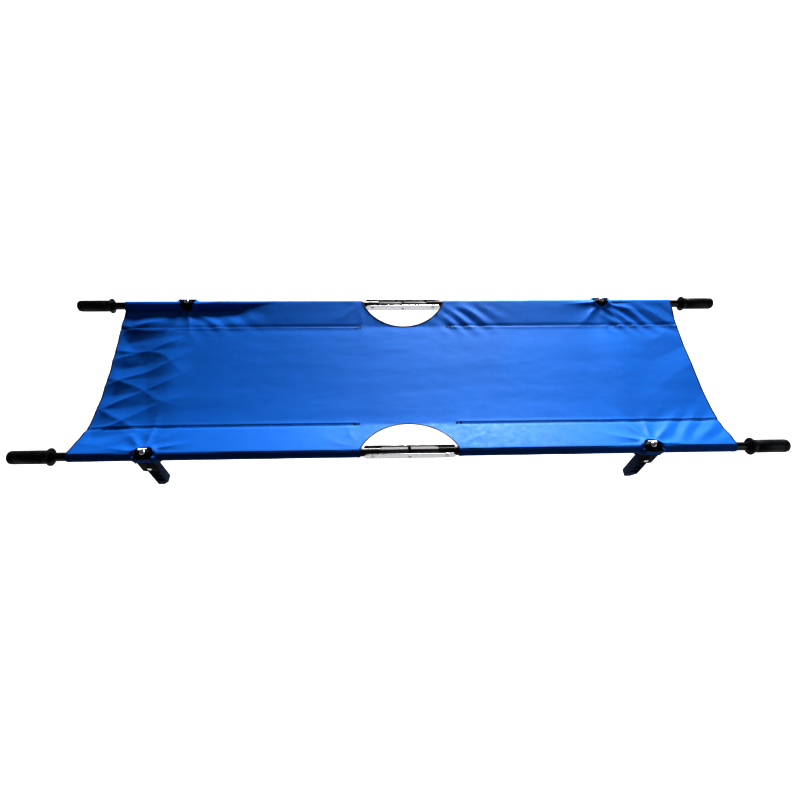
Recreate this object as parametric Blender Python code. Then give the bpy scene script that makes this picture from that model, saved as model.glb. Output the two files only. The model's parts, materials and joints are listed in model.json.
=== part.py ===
"""Folding stretcher: two jointed poles, four feet, two folding spreaders and a sewn bed.

+X runs along the poles, +Y from the front pole to the rear pole, +Z up. The origin is on the
floor, midway between the four feet. Metres.
"""

import math

import bmesh
import bpy
from mathutils import Matrix, Vector

# Driving dimensions.
HALF_LENGTH = 1.100       # middle of the stretcher to the end of a grip
POLE_Y = 0.290            # middle of the bed to a pole's axis
POLE_Z = 0.160            # floor to the poles' axes
TUBE_R = 0.0125
TUBE_WALL = 0.0015
PIVOT_X = 0.105           # middle of the stretcher to each fold pivot
FEET_X = {"left": -0.735, "right": 0.695}   # staggered, so the feet pass each other folded
GAP = 0.0003              # between pieces that touch
HOLE_GAP = 0.0003         # round a shank in its hole

# Poles and grips.
TUBE_INNER_END = 0.083
GRIP_LENGTH = 0.113
GRIP_R = 0.0190
GRIP_END_WALL = 0.003
GRIP_CHAMFER = 0.005
FLANGE_R = 0.0250
FLANGE_THICK = 0.004
FLANGE_NECK = 0.010       # the flange tapers down to the grip by here
FLANGE_CUP = 0.0015       # depth of the cupped face

# Fold joints.
PLATE_THICK = 0.0025
PLATE_R = 0.0115          # half the height of a link plate
PLATE_HALF_LENGTH = 0.130
PLATE_Y = TUBE_R + 0.0005  # pole axis to a plate's inner face
PIN_R = 0.004
PIN_HEAD_R = 0.0065
PIN_HEAD = 0.0020
TONGUE_HALF_HEIGHT = 0.008
TONGUE_HALF_WIDTH = 0.005
TONGUE_TIP = 0.0025       # middle of the link to the tip of a tongue
TONGUE_ROOT = 0.150
STOP_DROP = 0.005         # stop sleeve below the pole axis
STOP_R = 0.0045
STOP_BOLT_R = 0.0025

# Brackets and feet.
BRACKET_HALF_LENGTH = 0.0225
BRACKET_R = 0.0175
BRACKET_PAD_Z = 0.0195    # top of the pad under the dome bolt, above the pole axis
BRACKET_PAD_ROOT = 0.0145
BRACKET_PAD_R = 0.0095
DOME_R = 0.0080
DOME_RIM = 0.0010         # height of the dome bolt's rim, under its dome
DOME_RISE = 0.0055
DOME_TAIL = -0.0195       # the bolt's lower end, from the pole axis
CHEEK_THICK = 0.0050
CHEEK_BOTTOM = -0.062
SLOT_TOP = -0.0205
FOOT_HALF_LENGTH = 0.0165
FOOT_HALF_WIDTH = BRACKET_R - CHEEK_THICK - 0.0005
FOOT_CORNER_R = 0.006      # the sole's left corner
FOOT_SOLE_END = 0.001     # the flat sole runs from the corner to here, right of the foot's middle
FOOT_HEEL = 0.016         # height of the sloping heel's top, on the right
POCKET_WALL = 0.0045      # beside the cells, at the narrow faces
POCKET_WEB = 0.003        # foot's middle to the floor of a cell
POCKETS = ((0.024, 0.046), (0.049, 0.071), (0.074, 0.092))   # the cells in each broad face
FOOT_BOLT_Z = -0.045
BOLT_R = 0.003

# Spreaders: flat bars lapped at the knee, the front bar on top.
SPREADER_INSET = 0.030    # pole axis to a spreader's end pivot
BAR_HALF_WIDTH = 0.010
BAR_THICK = 0.004
BAR_TOP = {"front": -0.0165, "rear": -0.0210}
LUG_THICK = 0.006
LUG_HALF_LENGTH = 0.012
KNEE_HEAD_R = 0.008

# Sewn bed.
BED_HALF_LENGTH = 0.943
CUTOUT_HALF_LENGTH = 0.139
CUTOUT_DEPTH = 0.099      # pole axis to the deepest point of a cut-out
SLEEVE_R = 0.0150
SLEEVE_BORE_R = 0.0130
SLEEVE_WINDOW = 0.0255    # half the length of the opening round a bracket
STRIP_HALF_HEIGHT = 0.008
STRIP_ROOT = 0.0125       # the strip's solid starts here, inside the sleeve's wall
STRIP_OVERLAP = 0.008     # how far the strip runs past each end of the opening
STRIP_INNER = 0.0180
STRIP_OUTER = 0.0198
BED_TOP = -0.0035
BED_THICK = 0.0025
BED_EDGE = 0.0152         # pole axis to the bed's edge beside the sleeve
BED_NOTCH = 0.023         # pole axis to the inner side of the notch for a bracket
BED_SPLIT_GAP = 0.0003

ROUND = 24                # sides of a tube
ROUND_SMALL = 12          # sides of a pin or a hole
END_STEPS = 8             # sides of a half-round end
DOME_TURNS = (0.0, 0.5, 0.95, 1.3)   # angles of a dome's rings, in radians

SIDES = {"front": -1.0, "rear": 1.0}
HALVES = {"left": -1.0, "right": 1.0}


def clear_scene():
    for obj in list(bpy.data.objects):
        bpy.data.objects.remove(obj, do_unlink=True)


def material(name, colour, roughness, metallic=0.0):
    made = bpy.data.materials.new(name)
    made.use_nodes = True
    shader = made.node_tree.nodes["Principled BSDF"]
    shader.inputs["Base Color"].default_value = (*colour, 1.0)
    shader.inputs["Roughness"].default_value = roughness
    shader.inputs["Metallic"].default_value = metallic
    return made


def make_materials():
    return {
        "tube": material("black_tube", (0.035, 0.034, 0.036), 0.42, 0.6),
        "steel": material("zinc_steel", (0.55, 0.55, 0.56), 0.35, 1.0),
        "chrome": material("polished_steel", (0.80, 0.80, 0.82), 0.12, 1.0),
        "black_steel": material("black_steel", (0.03, 0.03, 0.032), 0.45, 0.5),
        "plastic": material("moulded_plastic", (0.018, 0.019, 0.024), 0.5),
        "rubber": material("grip_rubber", (0.016, 0.016, 0.018), 0.6),
        "fabric": material("coated_fabric", (0.02, 0.11, 0.50), 0.45),
    }


def add_object(name, bm, finish=None, smooth_angle=None):
    """One object from a bmesh, with its faces turned out."""
    bmesh.ops.recalc_face_normals(bm, faces=bm.faces)
    mesh = bpy.data.meshes.new(name)
    bm.to_mesh(mesh)
    bm.free()
    if finish is not None:
        mesh.materials.append(finish)
    if smooth_angle is not None:
        mesh.shade_smooth()
        mesh.set_sharp_from_angle(angle=smooth_angle)
    obj = bpy.data.objects.new(name, mesh)
    bpy.context.scene.collection.objects.link(obj)
    return obj


def cutter(name, bm):
    obj = add_object(name, bm)
    obj.hide_render = True
    obj.display_type = "WIRE"
    return obj


def boolean(obj, tool, operation="DIFFERENCE"):
    step = obj.modifiers.new(tool.name, "BOOLEAN")
    step.operation = operation
    step.object = tool
    step.solver = "EXACT"


def box(low, high):
    bm = bmesh.new()
    bmesh.ops.create_cube(bm, size=1.0)
    low, high = Vector(low), Vector(high)
    for vert in bm.verts:
        vert.co = (low + high) / 2 + Vector(a * b for a, b in zip(vert.co, high - low))
    return bm


AXIS_TURN = {
    "X": Matrix.Rotation(math.pi / 2, 4, "Y"),
    "Y": Matrix.Rotation(-math.pi / 2, 4, "X"),
    "Z": Matrix.Identity(4),
}


def rod(axis, centre, radius, start, end, sides=ROUND_SMALL):
    """A cylinder along an axis, from start to end measured from the centre point."""
    bm = bmesh.new()
    place = Matrix.Translation(centre) @ AXIS_TURN[axis] @ Matrix.Translation((0, 0, (start + end) / 2))
    bmesh.ops.create_cone(
        bm, cap_ends=True, segments=sides, radius1=radius, radius2=radius,
        depth=end - start, matrix=place,
    )
    return bm


def turned(axis, centre, profile, sides=ROUND_SMALL):
    """A solid of revolution from (distance along the axis, radius) points, closed at both ends."""
    bm = bmesh.new()
    points = [bm.verts.new((radius, 0.0, along)) for along, radius in profile]
    edges = [bm.edges.new(pair) for pair in zip(points, points[1:])]
    if profile[0][1] > 0 and profile[-1][1] > 0:
        edges.append(bm.edges.new((points[-1], points[0])))
    bmesh.ops.spin(
        bm, geom=points + edges, cent=(0, 0, 0), axis=(0, 0, 1),
        angle=2 * math.pi, steps=sides, use_merge=True,
    )
    bmesh.ops.remove_doubles(bm, verts=bm.verts, dist=1e-6)
    bm.transform(Matrix.Translation(centre) @ AXIS_TURN[axis])
    return bm


def arc(centre, radius, start, end, steps):
    """Points on an arc, in the plane of the outline, from start to end degrees."""
    for step in range(steps + 1):
        angle = math.radians(start + (end - start) * step / steps)
        yield centre[0] + radius * math.cos(angle), centre[1] + radius * math.sin(angle)


def extruded(outline, axis, low, high):
    """A prism from an outline: an X-Z outline along Y, or an X-Y outline along Z."""
    bm = bmesh.new()
    if axis == "Y":
        corners = [bm.verts.new((a, low, b)) for a, b in outline]
        along = Vector((0, high - low, 0))
    else:
        corners = [bm.verts.new((a, b, low)) for a, b in outline]
        along = Vector((0, 0, high - low))
    face = bm.faces.new(corners)
    made = bmesh.ops.extrude_face_region(bm, geom=[face])["geom"]
    moved = [item for item in made if isinstance(item, bmesh.types.BMVert)]
    bmesh.ops.translate(bm, verts=moved, vec=along)
    return bm


def cut_hole(obj, axis, centre, radius, reach, sides=ROUND_SMALL):
    name = f"{obj.name}_hole_{len(obj.modifiers)}"
    boolean(obj, cutter(name, rod(axis, centre, radius, -reach, reach, sides)))


def make_tube(corner, side, half, finish):
    sign, y, foot_x = HALVES[half], SIDES[side] * POLE_Y, FEET_X[half]
    start, end = TUBE_INNER_END, HALF_LENGTH - GRIP_END_WALL - GAP
    inner = TUBE_R - TUBE_WALL
    profile = [(start, inner), (start, TUBE_R), (end, TUBE_R), (end, inner)]
    profile = [(sign * along, radius) for along, radius in profile]
    bm = turned("X", (0, y, POLE_Z), profile, ROUND)
    tube = add_object(f"{corner}_tube", bm, finish, math.radians(40))
    cut_hole(tube, "Y", (sign * PIVOT_X, y, POLE_Z), PIN_R + HOLE_GAP, 0.03)
    cut_hole(tube, "Z", (foot_x, y, POLE_Z), BOLT_R + HOLE_GAP, 0.03)
    return tube


def make_tongue(corner, side, half, finish):
    """The flat bar inside a tube's end. Its tip rests on the link's stop sleeve."""
    sign, y = HALVES[half], SIDES[side] * POLE_Y
    ends = sorted((sign * TONGUE_TIP, sign * TONGUE_ROOT))
    bm = box(
        (ends[0], y - TONGUE_HALF_WIDTH, POLE_Z - TONGUE_HALF_HEIGHT),
        (ends[1], y + TONGUE_HALF_WIDTH, POLE_Z + TONGUE_HALF_HEIGHT),
    )
    tongue = add_object(f"{corner}_tongue", bm, finish, math.radians(40))
    cut_hole(tongue, "Y", (sign * PIVOT_X, y, POLE_Z), PIN_R + HOLE_GAP, 0.02)
    cut_hole(tongue, "Y", (0, y, POLE_Z - STOP_DROP), STOP_R + GAP, 0.02)
    low = box(
        (-STOP_R - 0.001, y - 0.02, POLE_Z - TONGUE_HALF_HEIGHT - 0.01),
        (STOP_R + 0.001, y + 0.02, POLE_Z - STOP_DROP),
    )
    boolean(tongue, cutter(f"{corner}_tongue_notch", low))
    return tongue


def make_grip(corner, side, half, finish):
    sign, y = HALVES[half], SIDES[side] * POLE_Y
    start, end, bore = HALF_LENGTH - GRIP_LENGTH, HALF_LENGTH, TUBE_R + GAP
    profile = [
        (end, 0.0), (end, GRIP_R - GRIP_CHAMFER), (end - GRIP_CHAMFER, GRIP_R),
        (start + FLANGE_NECK, GRIP_R), (start + FLANGE_THICK, FLANGE_R), (start, FLANGE_R),
        (start + FLANGE_CUP, bore),
        (end - GRIP_END_WALL, bore), (end - GRIP_END_WALL, 0.0),
    ]
    profile = [(sign * along, radius) for along, radius in profile]
    return add_object(f"{corner}_grip", turned("X", (0, y, POLE_Z), profile, ROUND), finish,
                      math.radians(40))


def bracket_lug(x, y, side):
    """The flat ear under a spreader bar's end, on the bracket's inner side."""
    inward = -SIDES[side]
    top = POLE_Z + BAR_TOP[side] - BAR_THICK - GAP
    pivot_y = y + inward * SPREADER_INSET
    near = y + inward * (BRACKET_R - 0.002)
    turn = 0 if inward > 0 else 180
    outline = [(x + LUG_HALF_LENGTH * (-1 if inward > 0 else 1), near)]
    outline += list(arc((x, pivot_y), LUG_HALF_LENGTH, 180 + turn, turn, END_STEPS))
    outline += [(x + LUG_HALF_LENGTH * (1 if inward > 0 else -1), near)]
    return extruded(outline, "Z", top - LUG_THICK, top)


def make_bracket(corner, side, half, finish):
    """A moulded clamp round the pole: a pad on top, two cheeks below and an ear for the spreader."""
    x, y = FEET_X[half], SIDES[side] * POLE_Y
    reach = BRACKET_HALF_LENGTH
    outline = [(BRACKET_R, CHEEK_BOTTOM), (BRACKET_R, 0.0)]
    outline += list(arc((0, 0), BRACKET_R, 0, 180, ROUND // 2))[1:]
    outline += [(-BRACKET_R, CHEEK_BOTTOM)]
    bm = bmesh.new()
    face = bm.faces.new([bm.verts.new((x - reach, y + a, POLE_Z + b)) for a, b in outline])
    made = bmesh.ops.extrude_face_region(bm, geom=[face])["geom"]
    moved = [item for item in made if isinstance(item, bmesh.types.BMVert)]
    bmesh.ops.translate(bm, verts=moved, vec=(2 * reach, 0, 0))
    bracket = add_object(f"{corner}_bracket", bm, finish, math.radians(30))
    pad = rod("Z", (x, y, POLE_Z), BRACKET_PAD_R, BRACKET_PAD_ROOT, BRACKET_PAD_Z)
    boolean(bracket, cutter(f"{corner}_bracket_pad", pad), "UNION")
    boolean(bracket, cutter(f"{corner}_bracket_lug", bracket_lug(x, y, side)), "UNION")
    cut_hole(bracket, "X", (x, y, POLE_Z), TUBE_R + GAP, 0.03, ROUND)
    slot = box(
        (x - 0.03, y - FOOT_HALF_WIDTH - 0.0005, POLE_Z + CHEEK_BOTTOM - 0.01),
        (x + 0.03, y + FOOT_HALF_WIDTH + 0.0005, POLE_Z + SLOT_TOP),
    )
    boolean(bracket, cutter(f"{corner}_bracket_slot", slot))
    cut_hole(bracket, "Z", (x, y, POLE_Z), BOLT_R + HOLE_GAP, 0.04)
    cut_hole(bracket, "Y", (x, y, POLE_Z + FOOT_BOLT_Z), BOLT_R + HOLE_GAP, 0.03)
    pivot = (x, y - SIDES[side] * SPREADER_INSET, POLE_Z)
    cut_hole(bracket, "Z", pivot, PIN_R + HOLE_GAP, 0.04)
    return bracket


def foot_outline(x):
    """The side outline of a foot: a flat sole between a rounded corner and a sloping heel."""
    reach, corner_r, top = FOOT_HALF_LENGTH, FOOT_CORNER_R, POLE_Z + SLOT_TOP - 0.0005
    outline = [(x + reach, top), (x + reach, FOOT_HEEL), (x + FOOT_SOLE_END, 0.0)]
    outline += list(arc((x - reach + corner_r, corner_r), corner_r, -90, -180, 4))
    outline += [(x - reach, top)]
    return outline


def make_foot(corner, side, half, finish):
    """A moulded foot with a column of pockets between cross ribs on each face."""
    x, y = FEET_X[half], SIDES[side] * POLE_Y
    bm = extruded(foot_outline(x), "Y", y - FOOT_HALF_WIDTH, y + FOOT_HALF_WIDTH)
    foot = add_object(f"{corner}_foot", bm, finish, math.radians(30))
    for face in (-1, 1):
        ys = sorted((y + face * POCKET_WEB, y + face * (FOOT_HALF_WIDTH + 0.01)))
        for low, high in POCKETS:
            pocket = box((x - FOOT_HALF_LENGTH + POCKET_WALL, ys[0], low),
                         (x + FOOT_HALF_LENGTH - POCKET_WALL, ys[1], high))
            boolean(foot, cutter(f"{corner}_pocket_{len(foot.modifiers)}", pocket))
    cut_hole(foot, "Y", (x, y, POLE_Z + FOOT_BOLT_Z), BOLT_R + HOLE_GAP, 0.03)
    return foot


def headed_pin(name, axis, centre, low, high, shank_r, head_r, head, finish):
    """A rivet: a shank from low to high with a rounded head on each end."""
    profile = [
        (low - head, 0.0), (low - head, head_r * 0.7), (low, head_r), (low, shank_r),
        (high, shank_r), (high, head_r), (high + head, head_r * 0.7), (high + head, 0.0),
    ]
    return add_object(name, turned(axis, centre, profile), finish, math.radians(35))


def make_dome_bolt(corner, side, half, finish):
    """The dome-headed bolt that clamps a bracket on its pole."""
    x, y = FEET_X[half], SIDES[side] * POLE_Y
    seat = BRACKET_PAD_Z + GAP
    rim = seat + DOME_RIM
    profile = [(DOME_TAIL, 0.0), (DOME_TAIL, BOLT_R), (seat, BOLT_R), (seat, DOME_R)]
    profile += [
        (rim + DOME_RISE * math.sin(turn), DOME_R * math.cos(turn)) for turn in DOME_TURNS
    ]
    profile += [(rim + DOME_RISE, 0.0)]
    return add_object(f"{corner}_dome_bolt", turned("Z", (x, y, POLE_Z), profile), finish,
                      math.radians(35))


def make_foot_bolt(corner, side, half, finish):
    x, y = FEET_X[half], SIDES[side] * POLE_Y
    reach = BRACKET_R + GAP
    return headed_pin(f"{corner}_foot_bolt", "Y", (x, y, POLE_Z + FOOT_BOLT_Z), -reach, reach,
                      BOLT_R, 0.006, 0.0030, finish)


def window_cutter(corner, x, y, side):
    """Everything round the bracket but the strip of sleeve outside it."""
    out = SIDES[side]
    ys = sorted((y + out * STRIP_INNER, y - out * 0.05))
    return cutter(f"{corner}_sleeve_window", box(
        (x - SLEEVE_WINDOW, ys[0], POLE_Z - 0.05), (x + SLEEVE_WINDOW, ys[1], POLE_Z + 0.05)))


def make_sleeve(corner, side, half, finish):
    """The sewn tunnel round half a pole, open round the bracket but for a strip outside it."""
    sign, x, y, out = HALVES[half], FEET_X[half], SIDES[side] * POLE_Y, SIDES[side]
    start, end = sign * CUTOUT_HALF_LENGTH, sign * BED_HALF_LENGTH
    low, high = sorted((start, end))
    bm = rod("X", (0, y, POLE_Z), SLEEVE_R, low, high, ROUND)
    sleeve = add_object(f"{corner}_sleeve", bm, finish, math.radians(40))
    ys = sorted((y + out * STRIP_ROOT, y + out * STRIP_OUTER))
    reach = SLEEVE_WINDOW + STRIP_OVERLAP
    strip = box((x - reach, ys[0], POLE_Z - STRIP_HALF_HEIGHT),
                (x + reach, ys[1], POLE_Z + STRIP_HALF_HEIGHT))
    boolean(sleeve, cutter(f"{corner}_sleeve_strip", strip), "UNION")
    boolean(sleeve, window_cutter(corner, x, y, side))
    cut_hole(sleeve, "X", (0, y, POLE_Z), SLEEVE_BORE_R, HALF_LENGTH, ROUND)
    return sleeve


def cutout_arc_centre():
    """(distance outboard of the pole axis, radius) of a cut-out's arc."""
    half, depth = CUTOUT_HALF_LENGTH, CUTOUT_DEPTH
    radius = (half * half + depth * depth) / (2 * depth)
    return radius - depth, radius


def bed_cutters(name):
    outboard, radius = cutout_arc_centre()
    for side, sign in SIDES.items():
        centre = (0, sign * (POLE_Y + outboard), POLE_Z)
        yield cutter(f"{name}_{side}_cutout", rod("Z", centre, radius, -0.05, 0.05, 64))
        for half, x in FEET_X.items():
            notch = box((x - SLEEVE_WINDOW, sign * POLE_Y - BED_NOTCH, POLE_Z - 0.05),
                        (x + SLEEVE_WINDOW, sign * POLE_Y + BED_NOTCH, POLE_Z + 0.05))
            yield cutter(f"{name}_{side}_{half}_notch", notch)


def make_bed(name, low, high, finish):
    """A flat panel of the bed between the sleeves, from low to high along the poles."""
    reach = POLE_Y - BED_EDGE
    bm = box((low, -reach, POLE_Z + BED_TOP - BED_THICK), (high, reach, POLE_Z + BED_TOP))
    bed = add_object(name, bm, finish)
    for tool in bed_cutters(name):
        boolean(bed, tool)
    return bed


def link_plate_outline():
    end_x = PLATE_HALF_LENGTH - PLATE_R
    right = arc((end_x, 0), PLATE_R, -90, 90, END_STEPS)
    left = arc((-end_x, 0), PLATE_R, 90, 270, END_STEPS)
    return list(right) + list(left)


def make_link(side, finishes):
    """The two plates of one fold joint, their pivot pins, and the stop bolt in its sleeve.

    The plates run on past the pivots, beside the tubes, up to the sleeves' ends.
    """
    y, reach = SIDES[side] * POLE_Y, PLATE_Y + PLATE_THICK
    outline = [(a, b + POLE_Z) for a, b in link_plate_outline()]
    for name, inner in (("outer", SIDES[side]), ("inner", -SIDES[side])):
        ys = sorted((y + inner * PLATE_Y, y + inner * reach))
        plate = add_object(f"{side}_{name}_plate", extruded(outline, "Y", *ys), finishes["steel"],
                           math.radians(35))
        for x in (-PIVOT_X, PIVOT_X):
            cut_hole(plate, "Y", (x, y, POLE_Z), PIN_R + HOLE_GAP, 0.03)
        cut_hole(plate, "Y", (0, y, POLE_Z - STOP_DROP), STOP_BOLT_R + HOLE_GAP, 0.03)
    for half, sign in HALVES.items():
        headed_pin(f"{side}_{half}_pivot_pin", "Y", (sign * PIVOT_X, y, POLE_Z), -reach - GAP,
                   reach + GAP, PIN_R, PIN_HEAD_R, PIN_HEAD, finishes["chrome"])
    centre = (0, y, POLE_Z - STOP_DROP)
    headed_pin(f"{side}_stop_bolt", "Y", centre, -reach - GAP, reach + GAP, STOP_BOLT_R,
               STOP_R, PIN_HEAD, finishes["chrome"])
    length, bore = PLATE_Y - GAP, STOP_BOLT_R + HOLE_GAP
    profile = [(-length, bore), (-length, STOP_R), (length, STOP_R), (length, bore)]
    add_object(f"{side}_stop_sleeve", turned("Y", centre, profile), finishes["black_steel"],
               math.radians(35))


def bar_outline(x, start, end):
    """A flat bar with round ends, from one pivot to the other along Y."""
    low, high = sorted((start, end))
    return (list(arc((x, high), BAR_HALF_WIDTH, 0, 180, END_STEPS))
            + list(arc((x, low), BAR_HALF_WIDTH, 180, 360, END_STEPS)))


def make_spreader(half, finishes):
    """Two flat bars across the poles, riveted to the brackets' ears and to each other."""
    x = FEET_X[half]
    for side, sign in SIDES.items():
        pivot_y, top = sign * (POLE_Y - SPREADER_INSET), POLE_Z + BAR_TOP[side]
        bar = add_object(f"{half}_{side}_spreader_bar",
                         extruded(bar_outline(x, pivot_y, 0.0), "Z", top - BAR_THICK, top),
                         finishes["steel"], math.radians(35))
        for y in (pivot_y, 0.0):
            cut_hole(bar, "Z", (x, y, POLE_Z), PIN_R + HOLE_GAP, 0.05)
        low = BAR_TOP[side] - BAR_THICK - LUG_THICK - 2 * GAP
        headed_pin(f"{side}_{half}_spreader_pin", "Z", (x, pivot_y, POLE_Z), low,
                   BAR_TOP[side] + GAP, PIN_R, PIN_HEAD_R, PIN_HEAD, finishes["chrome"])
    headed_pin(f"{half}_knee_rivet", "Z", (x, 0.0, POLE_Z), BAR_TOP["rear"] - BAR_THICK - GAP,
               BAR_TOP["front"] + GAP, PIN_R, KNEE_HEAD_R, PIN_HEAD, finishes["chrome"])


def make_corner(side, half, finishes):
    corner = f"{side}_{half}"
    make_tube(corner, side, half, finishes["tube"])
    make_tongue(corner, side, half, finishes["black_steel"])
    make_grip(corner, side, half, finishes["rubber"])
    make_bracket(corner, side, half, finishes["plastic"])
    make_dome_bolt(corner, side, half, finishes["chrome"])
    make_foot(corner, side, half, finishes["plastic"])
    make_foot_bolt(corner, side, half, finishes["steel"])
    make_sleeve(corner, side, half, finishes["fabric"])


def main():
    clear_scene()
    finishes = make_materials()
    for side in SIDES:
        for half in HALVES:
            make_corner(side, half, finishes)
        make_link(side, finishes)
    for half in HALVES:
        make_spreader(half, finishes)
    split = PIVOT_X + BED_SPLIT_GAP
    make_bed("bed_left", -BED_HALF_LENGTH, -split, finishes["fabric"])
    make_bed("bed_middle", -PIVOT_X, PIVOT_X, finishes["fabric"])
    make_bed("bed_right", split, BED_HALF_LENGTH, finishes["fabric"])


main()
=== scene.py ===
"""Looks of the folding stretcher: its sewn bed, sleeves, poles, grips, brackets, feet and joints.

Laid out as an add-on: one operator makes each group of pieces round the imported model.
"""

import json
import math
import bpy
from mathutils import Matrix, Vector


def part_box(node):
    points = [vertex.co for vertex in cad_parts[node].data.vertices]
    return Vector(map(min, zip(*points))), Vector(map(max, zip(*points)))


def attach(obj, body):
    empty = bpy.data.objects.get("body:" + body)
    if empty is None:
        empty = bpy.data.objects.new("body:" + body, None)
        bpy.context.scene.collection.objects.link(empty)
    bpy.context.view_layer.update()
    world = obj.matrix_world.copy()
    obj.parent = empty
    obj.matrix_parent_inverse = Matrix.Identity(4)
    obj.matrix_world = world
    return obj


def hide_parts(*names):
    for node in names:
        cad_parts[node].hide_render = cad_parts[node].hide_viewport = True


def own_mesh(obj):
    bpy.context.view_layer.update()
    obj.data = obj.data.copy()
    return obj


bl_info = {
    "name": "Folding Stretcher",
    "version": (1, 0, 0),
    "blender": (4, 5, 0),
    "location": "3D View > Sidebar > Stretcher",
    "description": "Makes a two-pole folding stretcher with a sewn fabric bed",
    "category": "Add Mesh",
}

import bmesh
import bpy
import numpy as np
from bpy.props import FloatProperty, FloatVectorProperty, IntProperty, PointerProperty
from mathutils import Matrix, Vector, noise

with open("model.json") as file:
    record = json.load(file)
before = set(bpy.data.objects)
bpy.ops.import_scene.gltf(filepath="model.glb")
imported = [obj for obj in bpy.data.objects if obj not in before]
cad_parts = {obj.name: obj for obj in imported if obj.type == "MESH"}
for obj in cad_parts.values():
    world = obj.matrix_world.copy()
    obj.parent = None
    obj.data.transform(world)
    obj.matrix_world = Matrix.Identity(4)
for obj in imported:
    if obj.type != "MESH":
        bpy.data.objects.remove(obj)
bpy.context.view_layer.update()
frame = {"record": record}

SIDES = {"front": -1.0, "rear": 1.0}
HALVES = {"left": -1.0, "right": 1.0}
CORNERS = [(side, half) for side in SIDES for half in HALVES]


def middle(node):
    low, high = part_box(node)
    return (low + high) / 2


BODY_OF = {node: body for body, nodes in frame["record"]["behaviour"]["bodies"].items()
           for node in nodes}

# Places read from the frame.
POLE_Y = abs(middle("rear_left_tube").y)
POLE_Z = middle("rear_left_tube").z
TUBE_R = (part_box("front_left_tube")[1].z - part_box("front_left_tube")[0].z) / 2
FEET_X = {half: middle(f"front_{half}_foot").x for half in HALVES}
PIVOT_X = middle("front_right_pivot_pin").x
BED_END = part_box("bed_right")[1].x
SLEEVE_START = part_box("front_right_sleeve")[0].x
SLEEVE_R = (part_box("front_left_sleeve")[1].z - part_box("front_left_sleeve")[0].z) / 2

# The cut-out's edge is an arc through the sleeves' ends and the middle panel's corners.
ARC_CORNER = POLE_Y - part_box("bed_middle")[1].y
ARC_CENTRE = (SLEEVE_START ** 2 - PIVOT_X ** 2 - ARC_CORNER ** 2) / (2 * ARC_CORNER)
ARC_RADIUS = math.hypot(SLEEVE_START, ARC_CENTRE)

# How far the poles end up apart when the spreaders are folded, as a share of their spacing.
SPREADER_INSET = POLE_Y - abs(middle("front_left_spreader_pin").y)


# ---------------------------------------------------------------- settings

def length_setting(name, description, default, low, high):
    return FloatProperty(name=name, description=description, default=default, min=low, max=high,
                         subtype="DISTANCE", unit="LENGTH")


def colour_setting(name, description, default):
    return FloatVectorProperty(name=name, description=description, default=default,
                               subtype="COLOR", size=3, min=0, max=1)


def angle_setting(name, description, degrees):
    return FloatProperty(name=name, description=description, default=math.radians(degrees),
                         subtype="ANGLE")


class StretcherFabric(bpy.types.PropertyGroup):
    colour: colour_setting("Cloth colour", "Colour of the coated cloth", (0.006, 0.186, 0.720))
    tape_colour: colour_setting(
        "Tape colour", "Colour of the edge binding and the thread", (0.006, 0.016, 0.070))
    thickness: length_setting("Thickness", "Thickness of the cloth", 0.0008, 0.0003, 0.003)
    spacing: length_setting(
        "Mesh spacing", "Distance between the cloth's mesh lines", 0.005, 0.003, 0.03)
    seam_depth: length_setting(
        "Seam inset", "Distance from a pole's axis to the seam of its tunnel", 0.100, 0.05, 0.15)
    sag: length_setting(
        "Sag", "How far the middle of the bed hangs below its seams", 0.005, 0.0, 0.05)
    crumple: length_setting(
        "Crumple", "Height of the creases at the loose left end", 0.008, 0.0, 0.02)
    droop: length_setting(
        "Left end droop", "How far the loose left end hangs past the spreader", 0.010, 0.0, 0.05)
    left_hollow: length_setting(
        "Left end hollow", "How far the left edge curves inwards", 0.013, 0.0, 0.1)
    right_hollow: length_setting(
        "Right end hollow", "How far the right edge curves inwards", 0.006, 0.0, 0.1)


class StretcherHardware(bpy.types.PropertyGroup):
    tube_colour: colour_setting("Pole colour", "Paint of the poles", (0.016, 0.015, 0.017))
    plastic_colour: colour_setting("Plastic colour", "Colour of the brackets", (0.006, 0.006, 0.008))
    foot_colour: colour_setting("Foot colour", "Colour of the moulded feet", (0.085, 0.140, 0.290))
    rubber_colour: colour_setting("Rubber colour", "Colour of the hand grips", (0.010, 0.011, 0.013))
    steel_colour: colour_setting("Steel colour", "Colour of the plated steel", (0.80, 0.80, 0.82))
    sides: IntProperty(
        name="Sides", description="Sides of the large round pieces", default=64, min=16, max=128)
    edge: length_setting(
        "Edge rounding", "Radius of a moulded piece's edges", 0.0009, 0.0001, 0.004)


class StretcherStage(bpy.types.PropertyGroup):
    floor_size: length_setting("Floor size", "Side of the floor", 14.0, 4.0, 40.0)
    focal_length: FloatProperty(
        name="Focal length", description="Focal length on a 36 mm wide sensor", default=22.69,
        min=10.0, max=120.0)
    eye: FloatVectorProperty(
        name="Eye", description="Where the camera stands", subtype="TRANSLATION", size=3,
        unit="LENGTH", default=(-0.0813, -0.9794, 1.4141))
    tilt: angle_setting("Tilt", "How far the camera looks down", 55.29)
    turn: angle_setting("Turn", "How far the camera turns to the right", 3.90)
    roll: angle_setting("Roll", "How far the picture leans", 2.545)


# ---------------------------------------------------------------- modelling helpers

def deselect_all():
    if bpy.context.mode != "OBJECT":
        bpy.ops.object.mode_set(mode="OBJECT")
    bpy.ops.object.select_all(action="DESELECT")


def activate(obj):
    deselect_all()
    obj.select_set(True)
    bpy.context.view_layer.objects.active = obj
    return obj


def take(name):
    """Names the piece that an operator has just added."""
    obj = bpy.context.object
    obj.name = name
    obj.data.name = name
    return obj


def settle(obj):
    """Puts the piece's place into its mesh, so that its object sits at the origin."""
    activate(obj)
    bpy.ops.object.transform_apply(location=True, rotation=True, scale=True)
    return obj


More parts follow.
